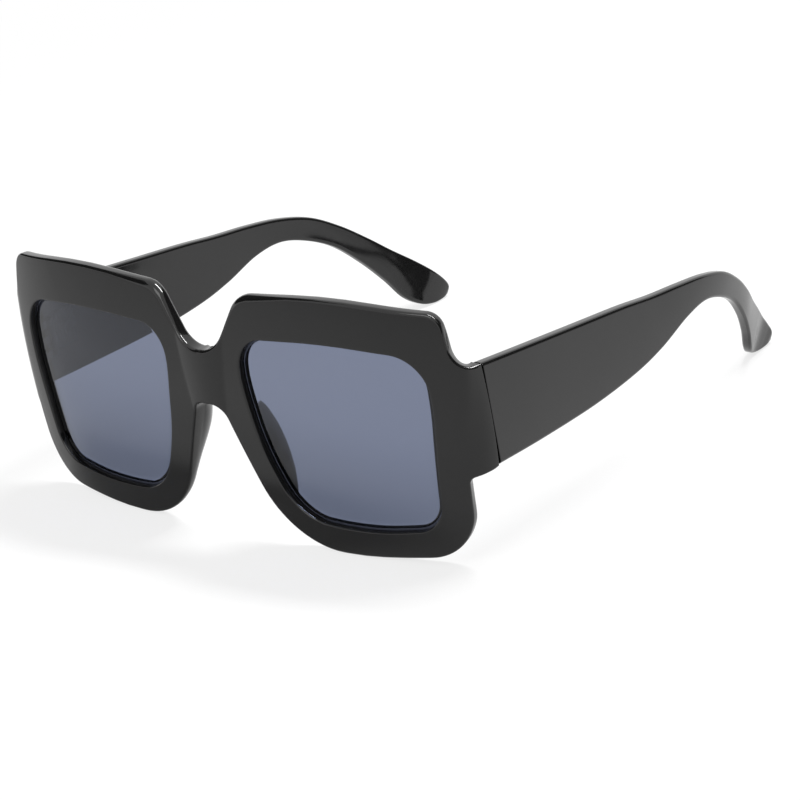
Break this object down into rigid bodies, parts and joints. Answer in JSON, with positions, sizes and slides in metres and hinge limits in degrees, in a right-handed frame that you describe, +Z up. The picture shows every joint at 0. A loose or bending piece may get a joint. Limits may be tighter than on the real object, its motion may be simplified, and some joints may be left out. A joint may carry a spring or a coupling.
{
  "type": "sunglasses",
  "caption": "Oversized square sunglasses with a thick polished dark front, tinted lenses and broad folding temples that taper to a hooked tip.",
  "frame": {"origin": "on the table, under the middle of the box round the open glasses", "axes": "+Z up from the table, -Y the way the lenses face, +X towards the wearer's left temple"},
  "size_m": [0.156, 0.1434, 0.0644],
  "materials": {
    "frame_plastic": "polished near-black acetate",
    "lens_tint": "polished, bluish grey tint, see-through",
    "hinge_metal": "black-plated nickel silver",
    "screw_metal": "black-plated steel",
    "wire_metal": "plain nickel silver"
  },
  "bodies": {
    "front": {"front_frame": "frame_plastic", "left_lens": "lens_tint", "right_lens": "lens_tint", "left_nose_pad": "frame_plastic", "right_nose_pad": "frame_plastic", "left_front_hinge_leaf": "hinge_metal", "right_front_hinge_leaf": "hinge_metal", "left_hinge_screw": "screw_metal", "right_hinge_screw": "screw_metal"},
    "left_temple_body": {"left_temple": "frame_plastic", "left_temple_hinge_leaf": "hinge_metal", "left_core_wire": "wire_metal"},
    "right_temple_body": {"right_temple": "frame_plastic", "right_temple_hinge_leaf": "hinge_metal", "right_core_wire": "wire_metal"}
  },
  "joints": [
    {"name": "left_temple_fold", "type": "hinge", "parent": "front", "child": "left_temple_body", "pos_m": [0.07329, -0.05421, 0.0367], "axis": [0, 0, 1], "range_deg": [0, 84.5]},
    {"name": "right_temple_fold", "type": "hinge", "parent": "front", "child": "right_temple_body", "pos_m": [-0.07329, -0.05421, 0.0367], "axis": [0, 0, -1], "range_deg": [0, 79.5]}
  ]
}
